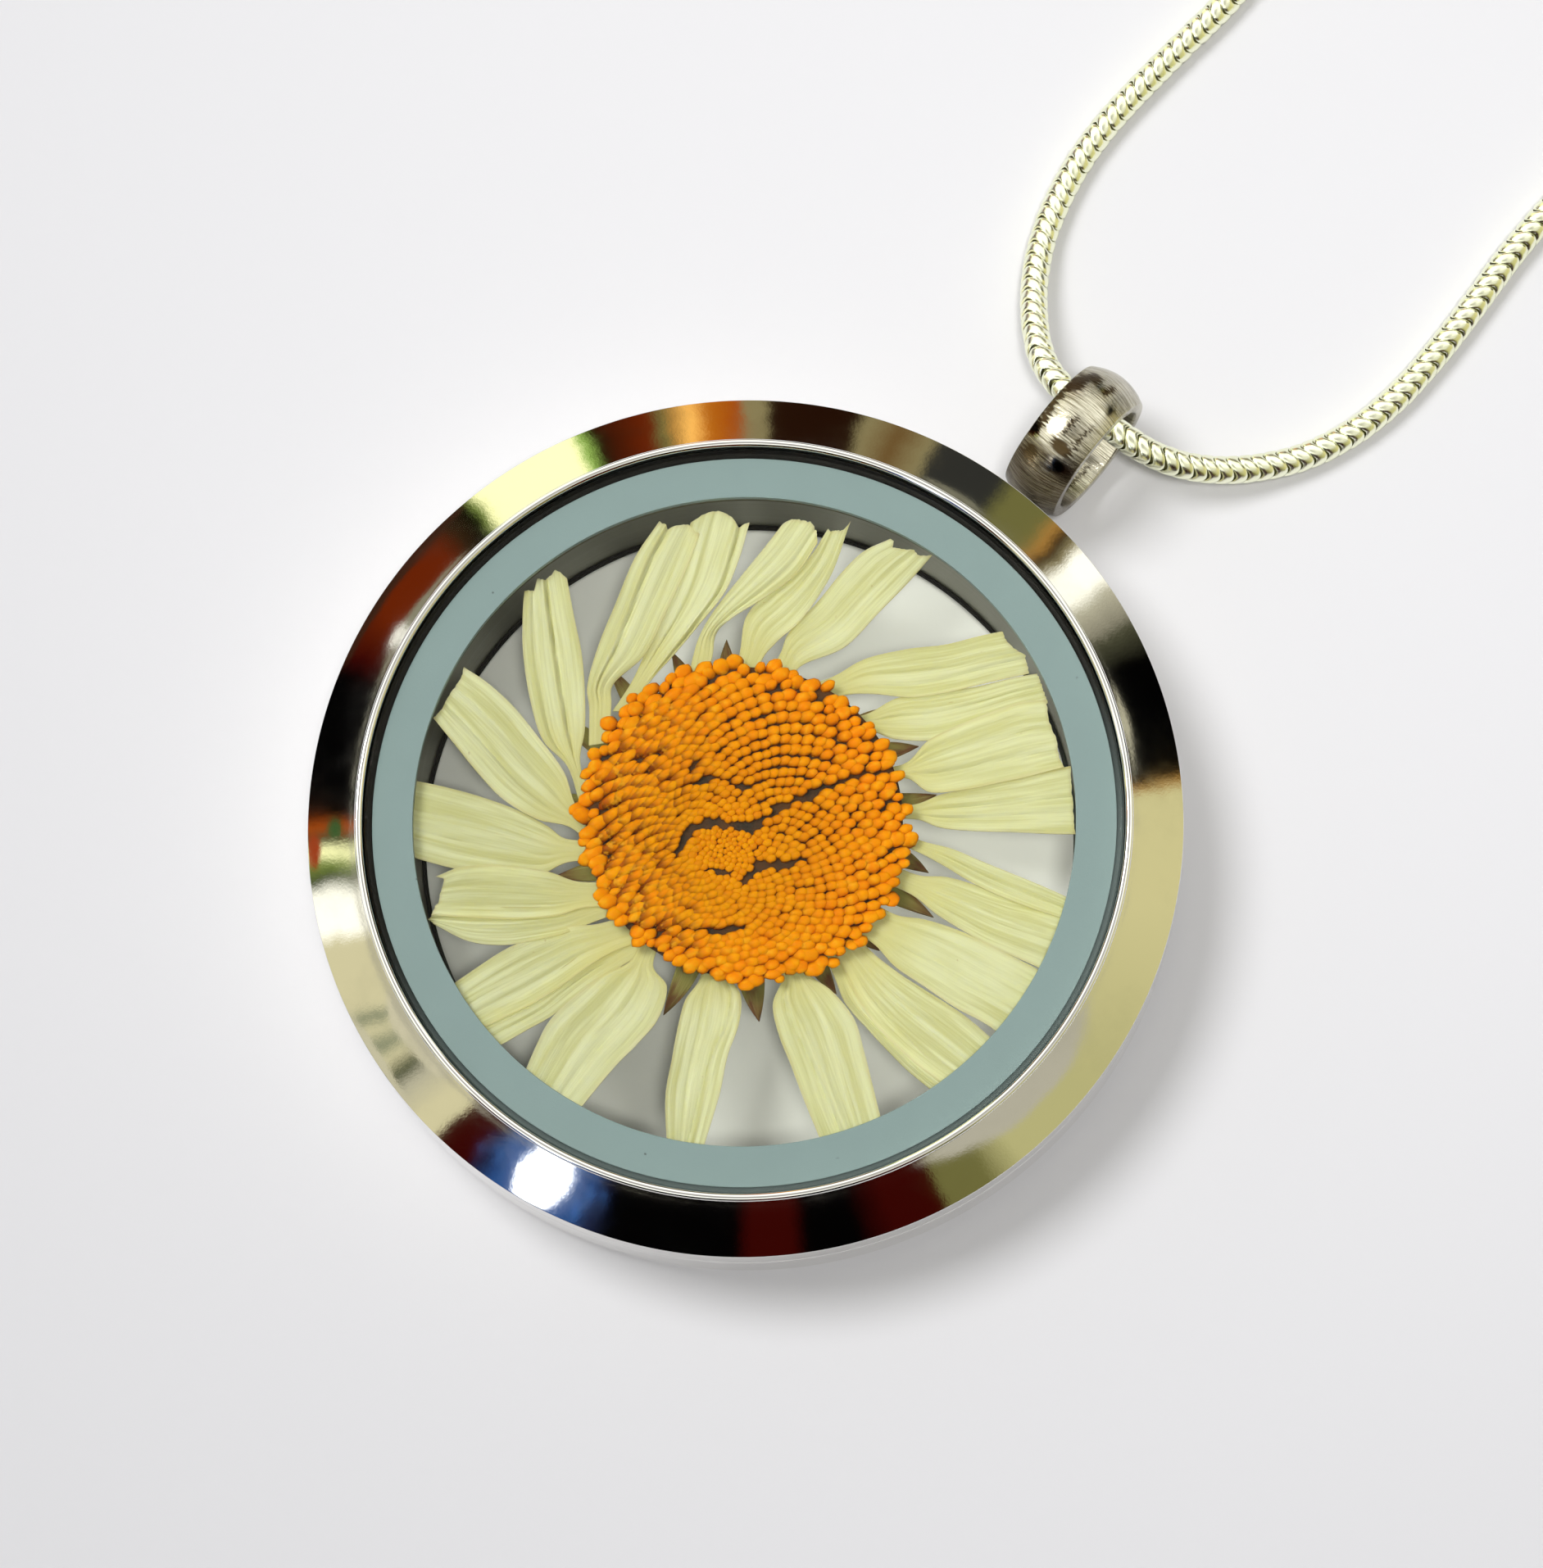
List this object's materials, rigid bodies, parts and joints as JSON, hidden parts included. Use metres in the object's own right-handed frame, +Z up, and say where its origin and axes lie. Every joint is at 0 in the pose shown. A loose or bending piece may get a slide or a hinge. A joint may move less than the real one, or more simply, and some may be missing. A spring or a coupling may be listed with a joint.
{
  "type": "flower locket pendant on a snake chain",
  "caption": "Round glass-fronted steel locket that shows a dried daisy between clear panes, with a soldered ring bail on a closed snake chain.",
  "frame": {"origin": "centre of the locket's back glass, on the surface that the locket lies on", "axes": "+Z up out of the front glass, +Y from the locket's centre to its bail and on along the chain, +X to the right seen from the front"},
  "size_m": [0.0974, 0.2265, 0.0058],
  "materials": {
    "polished_steel": "mirror polished steel with fine scratches",
    "clear_glass": "clear flat glass",
    "grey_mask": "matte blue-grey",
    "orange_floret": "waxy dried florets",
    "cream_petal": "dry petal with lengthwise veins",
    "dry_green": "dry bracts, brown at the tips",
    "silver_chain": "bright silver plate, slightly yellow"
  },
  "bodies": {
    "locket_back": {"case": "polished_steel", "back_glass": "clear_glass", "flower_disc": "orange_floret", "calyx": "dry_green", "petal_01": "cream_petal", "petal_02": "cream_petal", "petal_03": "cream_petal", "petal_04": "cream_petal", "petal_05": "cream_petal", "petal_06": "cream_petal", "petal_07": "cream_petal", "petal_08": "cream_petal", "petal_09": "cream_petal", "petal_10": "cream_petal", "petal_11": "cream_petal", "petal_12": "cream_petal", "petal_13": "cream_petal", "petal_14": "cream_petal", "petal_15": "cream_petal", "petal_16": "cream_petal", "petal_17": "cream_petal", "petal_18": "cream_petal", "petal_19": "cream_petal", "petal_20": "cream_petal", "petal_21": "cream_petal", "petal_22": "cream_petal", "petal_23": "cream_petal", "petal_24": "cream_petal", "chain_right": "silver_chain", "chain_left": "silver_chain", "chain_cap_right": "silver_chain", "chain_cap_left": "silver_chain", "clasp": "silver_chain"},
    "locket_front": {"front_bezel": "polished_steel", "front_glass": "clear_glass", "mask_ring": "grey_mask"}
  },
  "joints": [
    {"name": "locket_front_lift", "type": "slide", "parent": "locket_back", "child": "locket_front", "axis": [0, 0, 1], "range_m": [0, 0.008]}
  ]
}
